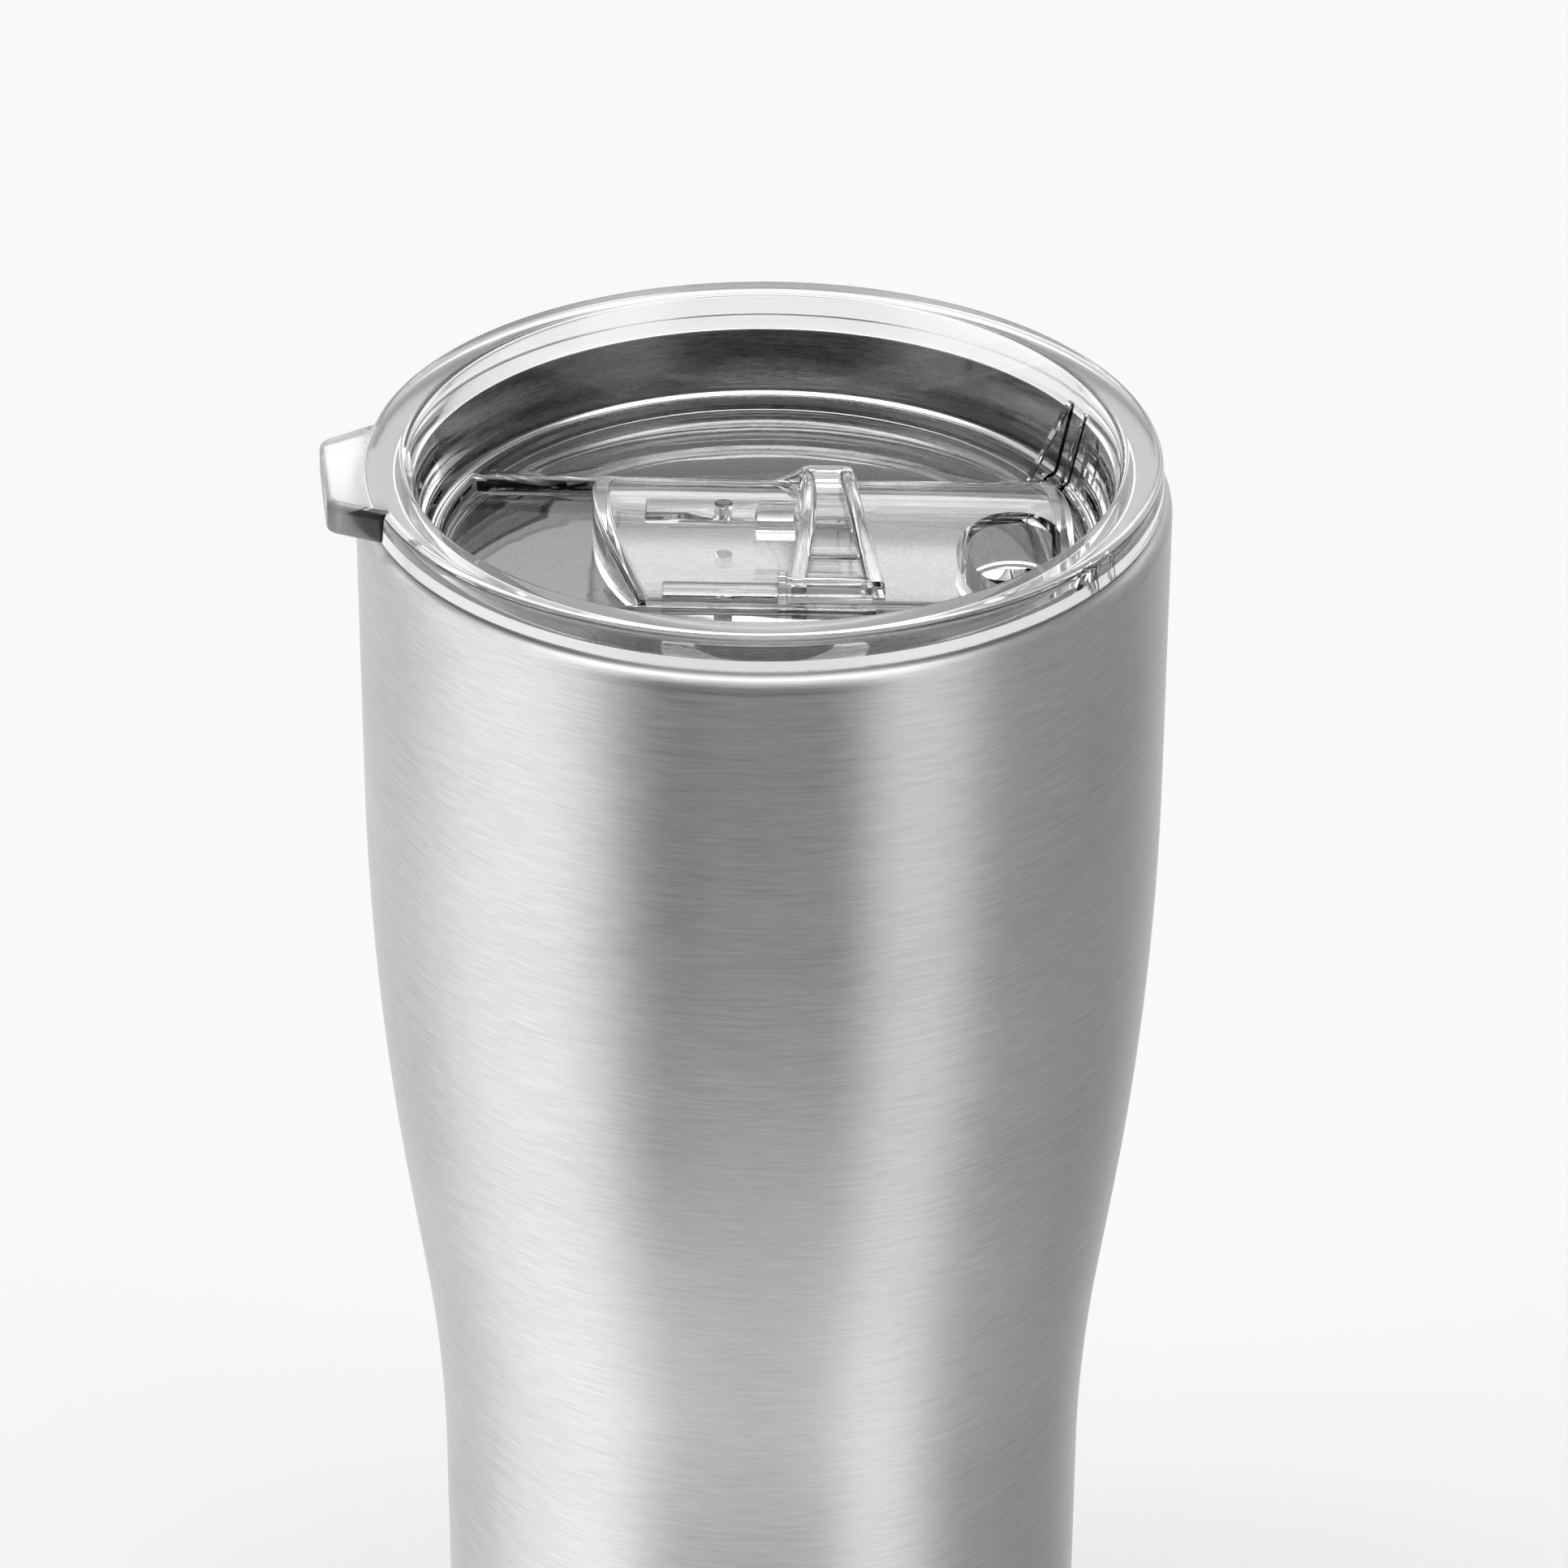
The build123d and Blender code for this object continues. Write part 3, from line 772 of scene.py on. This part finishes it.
def grained_steel(
    name, dark, light, rough, anisotropy, grain, bump, cloud_size=(28, 28, 40), painted_shade_above=None
):
    """Stainless steel with fine grain round the axis: long thin streaks and soft cloudy wear.

    Above a given height the colour is darkened to a painted shade, standing in for the shadow that the lid's
    flange casts on the shell's top.
    """
    painted_shade_colour, painted_shade_blend = (0.2, 0.2, 0.205), 0.5
    material, nodes, shader = new_material(name)
    fine = nodes.noise((230, 230, 6500 * grain), scale=1.0, detail=2.0, rough=0.6)
    broad = nodes.noise((130, 130, 2600 * grain), scale=1.0, detail=3.0, rough=0.6)
    scratches = nodes.noise((320, 320, 5200 * grain), scale=1.0, detail=1.0, rough=0.4)
    cloud = nodes.noise(cloud_size, scale=1.0, detail=4.0, rough=0.55)
    streaks = nodes.weighed(fine, 0.6, broad, 0.4)
    tone = nodes.weighed(streaks, 0.75, cloud, 0.25)
    nicks = nodes.span(scratches, 0.7, 0.8, 0.0, 0.35)
    shade = nodes.math("SUBTRACT", nodes.span(tone, 0.32, 0.68, 0, 1), nicks)
    colour = nodes.mix_colour(shade, dark, light)
    # Painted shade: from this height up the colour darkens, standing in for the shadow under the lid's
    # flange.
    if painted_shade_above is not None:
        height = nodes.millimetres()[2]
        painted_shade_mask = nodes.span(height, painted_shade_above, painted_shade_above + painted_shade_blend, 0.0, 1.0, smooth_step=True)
        colour = nodes.mix_colour(painted_shade_mask, colour, painted_shade_colour)
    nodes.link(colour, shader.inputs["Base Color"])
    wear = nodes.weighed(streaks, 0.6, cloud, 0.4)
    nodes.link(nodes.span(wear, 0.3, 0.7, rough - 0.05, rough + 0.05), shader.inputs["Roughness"])
    shader.inputs["Metallic"].default_value = 1.0
    shader.inputs["Anisotropic"].default_value = anisotropy
    shader.inputs["Anisotropic Rotation"].default_value = 0.25
    tangent = nodes.add("ShaderNodeTangent", direction_type="RADIAL", axis="Z")
    nodes.link(tangent.outputs[0], shader.inputs["Tangent"])
    nodes.bump(streaks, bump, 0.00002, shader)
    return material


def plain_metal(name, dark, light, rough, scale, metallic=1.0, bump=0.2, distance=0.00005):
    """Metal, or glass at no metallic share, with an even mottled grain whose bump distance is in metres."""
    material, nodes, shader = new_material(name)
    speckle = nodes.noise(EVEN, scale, detail=5.0, rough=0.6)
    shade = nodes.span(speckle, 0.3, 0.7, 0, 1)
    nodes.link(nodes.mix_colour(shade, dark, light), shader.inputs["Base Color"])
    nodes.link(nodes.span(speckle, 0.3, 0.7, rough - 0.06, rough + 0.08), shader.inputs["Roughness"])
    shader.inputs["Metallic"].default_value = metallic
    nodes.bump(speckle, bump, distance, shader)
    return material


def satin_tab(nodes, satin_reach):
    """One on the sides and underside of the pull tab, zero elsewhere."""
    x, y, z = nodes.millimetres()
    squares = nodes.math("ADD", nodes.math("MULTIPLY", x, x), nodes.math("MULTIPLY", y, y))
    outside = nodes.span(nodes.math("SQRT", squares), satin_reach, satin_reach + 0.2, 0, 1)
    below_top = nodes.span(z, TOP - 1.2, TOP - 0.7, 1, 0)
    return nodes.math("MULTIPLY", outside, below_top)


def clear_plastic(name, tint, ripple, satin_reach=None):
    """Clear moulded plastic: faint flow ripples and hairline wear that dulls it slightly.

    The ripple is a bump distance in metres. Farther out than the satin reach, the sides and the underside of
    the pull tab have a satin texture.
    """
    rough, satin = 0.012, 0.32
    pale = tuple(channel + 0.015 for channel in tint)
    material, nodes, shader = new_material(name)
    flow = nodes.noise(EVEN, scale=70.0, detail=2.0, rough=0.5)
    wear = nodes.noise((900, 220, 900), scale=1.0, detail=4.0, rough=0.65)
    nodes.link(nodes.mix_colour(flow, tint, pale), shader.inputs["Base Color"])
    roughness = nodes.span(wear, 0.55, 0.75, rough, rough + 0.05)
    if satin_reach is not None:
        roughness = nodes.math("MULTIPLY_ADD", satin_tab(nodes, satin_reach), satin, roughness)
    nodes.link(roughness, shader.inputs["Roughness"])
    shader.inputs["Transmission Weight"].default_value = 1.0
    shader.inputs["IOR"].default_value = 1.54
    nodes.bump(flow, 0.5, ripple, shader)
    return material


def silicone(name):
    """Milky clear silicone with a fine matt texture."""
    material, nodes, shader = new_material(name)
    cloud = nodes.noise(EVEN, scale=900.0, detail=3.0, rough=0.5)
    nodes.link(nodes.mix_colour(cloud, (0.86, 0.87, 0.88), (0.93, 0.94, 0.94)), shader.inputs["Base Color"])
    nodes.link(nodes.span(cloud, 0.3, 0.7, 0.28, 0.42), shader.inputs["Roughness"])
    shader.inputs["Transmission Weight"].default_value = 0.75
    shader.inputs["IOR"].default_value = 1.41
    nodes.bump(cloud, 0.3, 0.00003, shader)
    return material


def dress(piece, material):
    """Gives a piece its one material."""
    piece.data.materials.clear()
    piece.data.materials.append(material)


# ---------------------------------------------------------------- pieces in the frame
# The shell's turned-in top, under the lid's flange, gets a painted shade that makes it darker than the wall.
shell_steel = grained_steel(
    "Brushed_steel", (0.51, 0.51, 0.515), (0.735, 0.735, 0.735),
    rough=0.36, anisotropy=0.85, grain=1.0, bump=0.26, painted_shade_above=RIM - 0.7,
)
liner_steel = grained_steel(
    "Liner_steel", (0.29, 0.29, 0.295), (0.59, 0.59, 0.59),
    rough=0.27, anisotropy=0.6, grain=0.6, bump=0.14, cloud_size=(45, 45, 6),
)
rim_steel = grained_steel(
    "Rim_steel", (0.5, 0.5, 0.51), (0.62, 0.62, 0.62), rough=0.16, anisotropy=0.3, grain=1.0, bump=0.1
)
cap_steel = grained_steel(
    "Cap_steel", (0.5, 0.5, 0.5), (0.64, 0.64, 0.64), rough=0.24, anisotropy=0.5, grain=0.5, bump=0.2
)
lid_plastic = clear_plastic("Lid_plastic", (0.935, 0.94, 0.94), ripple=0.00006, satin_reach=49.6)
slider_plastic = clear_plastic("Slider_plastic", (0.95, 0.955, 0.955), ripple=0.00005)
gasket_silicone = silicone("Gasket_silicone")

made = [
    (outer_shell(), "tumbler", "outer_shell", "shell_steel", shell_steel),
    (rim_seam(), "tumbler", "rim_weld", "rim_steel", rim_steel),
    (liner(), "tumbler", "inner_liner", "liner_steel", liner_steel),
    (inner_floor(), "tumbler", "inner_base", "liner_steel", liner_steel),
    (outer_base(), "tumbler", "outer_base", "shell_steel", shell_steel),
    (base_cap(), "tumbler", "base_cap", "cap_steel", cap_steel),
    (lid_body(), "lid", "lid_body", "clear_lid", lid_plastic),
    (gasket(), "lid", "lid_gasket", "clear_silicone", gasket_silicone),
    (slider_plate(), "slider", "slider_plate", "clear_slider", slider_plastic),
    (thumb_grip(), "slider", "thumb_grip", "clear_slider", slider_plastic),
]
for piece, body, node, slot, material in made:
    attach(piece, body)
    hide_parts(node)
    dress(piece, material)

foil_metal = plain_metal(
    "Foil_metal", (0.72, 0.5, 0.36), (0.86, 0.62, 0.46), rough=0.3, scale=300.0, bump=0.5, distance=0.0003
)
getter_metal = plain_metal("Getter_metal", (0.16, 0.16, 0.17), (0.3, 0.3, 0.31), rough=0.55, scale=1500.0)
clip_metal = plain_metal("Clip_metal", (0.5, 0.5, 0.51), (0.66, 0.66, 0.66), rough=0.3, scale=700.0)
seal_glass = plain_metal(
    "Seal_glass", (0.05, 0.06, 0.08), (0.12, 0.13, 0.15), rough=0.12, scale=500.0, metallic=0.0
)
carried_over = {
    "radiation_foil": foil_metal,
    "getter": getter_metal,
    "getter_clip": clip_metal,
    "vacuum_seal": seal_glass,
}
for node, material in carried_over.items():
    dress(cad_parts[node], material)


# ---------------------------------------------------------------- studio
def pale_floor():
    """Large matt floor under the tumbler."""
    reach = 6.0  # metres
    builder = bmesh.new()
    bmesh.ops.create_circle(builder, cap_ends=True, segments=96, radius=reach)
    floor = object_from(builder, "Floor")
    floor.visible_glossy = False
    floor.visible_shadow = False
    material, nodes, shader = new_material("Floor_paint")
    soft = nodes.noise(EVEN, scale=3.0, detail=2.0)
    nodes.link(nodes.mix_colour(soft, (0.6, 0.6, 0.6), (0.62, 0.62, 0.62)), shader.inputs["Base Color"])
    shader.inputs["Roughness"].default_value = 0.9
    dress(floor, material)


def bounce_sheet():
    """Faint glow on the floor in front, seen only as a reflection in the foot of the tumbler."""
    size, centre_y, drop = (0.24, 0.5, 1, 1), -0.28, -0.002  # metres
    builder = bmesh.new()
    bmesh.ops.create_grid(builder, x_segments=1, y_segments=1, size=0.5)
    place = Matrix.Translation((0, centre_y, drop)) @ Matrix.Diagonal(size)
    bmesh.ops.transform(builder, matrix=place, verts=builder.verts)
    sheet = object_from(builder, "Bounce_sheet")
    sheet.visible_camera = False
    sheet.visible_diffuse = False
    sheet.visible_transmission = False
    sheet.visible_shadow = False
    material = bpy.data.materials.new("Bounce")
    material.use_nodes = True
    nodes = Nodes(material.node_tree)
    x, y, _ = nodes.millimetres()
    near_glow = nodes.span(y, -400, -120, 0.0, 0.6, smooth_step=True)
    side_fade = nodes.span(nodes.math("ABSOLUTE", x), 35, 110, 1.0, 0.0, smooth_step=True)
    glow = nodes.add("ShaderNodeEmission")
    nodes.link(nodes.math("MULTIPLY", near_glow, side_fade), glow.inputs["Strength"])
    clear = nodes.add("ShaderNodeBsdfTransparent")
    both = nodes.add("ShaderNodeAddShader")
    nodes.link(glow.outputs[0], both.inputs[0])
    nodes.link(clear.outputs[0], both.inputs[1])
    output = nodes.add("ShaderNodeOutputMaterial")
    nodes.link(both.outputs[0], output.inputs["Surface"])
    dress(sheet, material)


def surround():
    """Soft light from all round: dim in front, softboxes at the sides and overhead, a bright backdrop.

    The angles are degrees round from the front, growing towards the right.
    """
    front_dim, front_side = 0.09, 0.2
    softboxes = [  # from, to and soft edge in degrees, then level
        (-300, -40, 13, 0.62),
        (-105, -52, 16, 0.45),
        (32, 62, 10, 0.72),
        (60, 300, 12, 0.17),
        (150, 300, 25, 0.45),
    ]
    world = bpy.data.worlds.new("Studio")
    bpy.context.scene.world = world
    world.use_nodes = True
    nodes = Nodes(world.node_tree)
    place = nodes.add("ShaderNodeTexCoord")
    parts = nodes.add("ShaderNodeSeparateXYZ")
    nodes.link(place.outputs["Generated"], parts.inputs[0])
    x, y, z = parts.outputs
    angle = nodes.math("MULTIPLY", nodes.math("ARCTAN2", x, nodes.math("MULTIPLY", y, -1.0)), 180 / math.pi)

    light = nodes.span(nodes.math("ABSOLUTE", angle), 15, 55, front_dim, front_side, smooth_step=True)
    for low, high, edge, level in softboxes:
        rise = nodes.span(angle, low - edge, low + edge, 0, level, smooth_step=True)
        fall = nodes.span(angle, high - edge, high + edge, 1, 0, smooth_step=True)
        light = nodes.math("ADD", light, nodes.math("MULTIPLY", rise, fall))
    overhead = nodes.span(z, 0.8, 0.95, 0.0, 3.4, smooth_step=True)
    back = nodes.span(y, 0.35, 0.75, 0.0, 1.15, smooth_step=True)
    low_edge = nodes.span(z, 0.22, 0.42, 0.0, 1.0, smooth_step=True)
    high_edge = nodes.span(z, 0.52, 0.68, 1.0, 0.1, smooth_step=True)
    backdrop = nodes.math("MULTIPLY", back, nodes.math("MULTIPLY", low_edge, high_edge))
    ground = nodes.span(z, -0.6, -0.85, 0.0, 0.5, smooth_step=True)
    for part in (overhead, backdrop, ground):
        light = nodes.math("ADD", light, part)
    background = nodes.add("ShaderNodeBackground")
    nodes.link(light, background.inputs["Color"])
    output = nodes.add("ShaderNodeOutputWorld")
    nodes.link(background.outputs[0], output.inputs[0])


def light_paths():
    """Plain display of colours, and enough bounces for stacked clear parts."""
    scene = bpy.context.scene
    scene.view_settings.view_transform = "Standard"
    scene.cycles.max_bounces = 24
    scene.cycles.transmission_bounces = 20
    scene.cycles.glossy_bounces = 10


def camera():
    """Long lens looking down at the lid, as for a product shot."""
    azimuth, elevation, roll = (math.radians(angle) for angle in (1.5, 28.72, 0.23))
    distance = 1.2007  # metres from the middle of the lid's top
    aside, above = -0.0026, 0.04086  # metres that the lid's middle stands off the picture's middle
    back = Vector((
        math.sin(azimuth) * math.cos(elevation), -math.cos(azimuth) * math.cos(elevation), math.sin(elevation)
    ))
    turn = (-back).to_track_quat("-Z", "Y")
    right, up = turn @ Vector((1, 0, 0)), turn @ Vector((0, 1, 0))
    data = bpy.data.cameras.new("Camera")
    data.sensor_width = 36.0
    data.lens = 223.6
    eye = bpy.data.objects.new("Camera", data)
    bpy.context.scene.collection.objects.link(eye)
    eye.location = Vector((0, 0, TOP * MM)) + back * distance - right * aside - up * above
    eye.rotation_mode = "QUATERNION"
    eye.rotation_quaternion = turn @ Matrix.Rotation(roll, 3, "Z").to_quaternion()
    data.clip_start = 0.05  # metres
    data.clip_end = 50.0  # metres
    bpy.context.scene.camera = eye


pale_floor()
bounce_sheet()
surround()
light_paths()
camera()
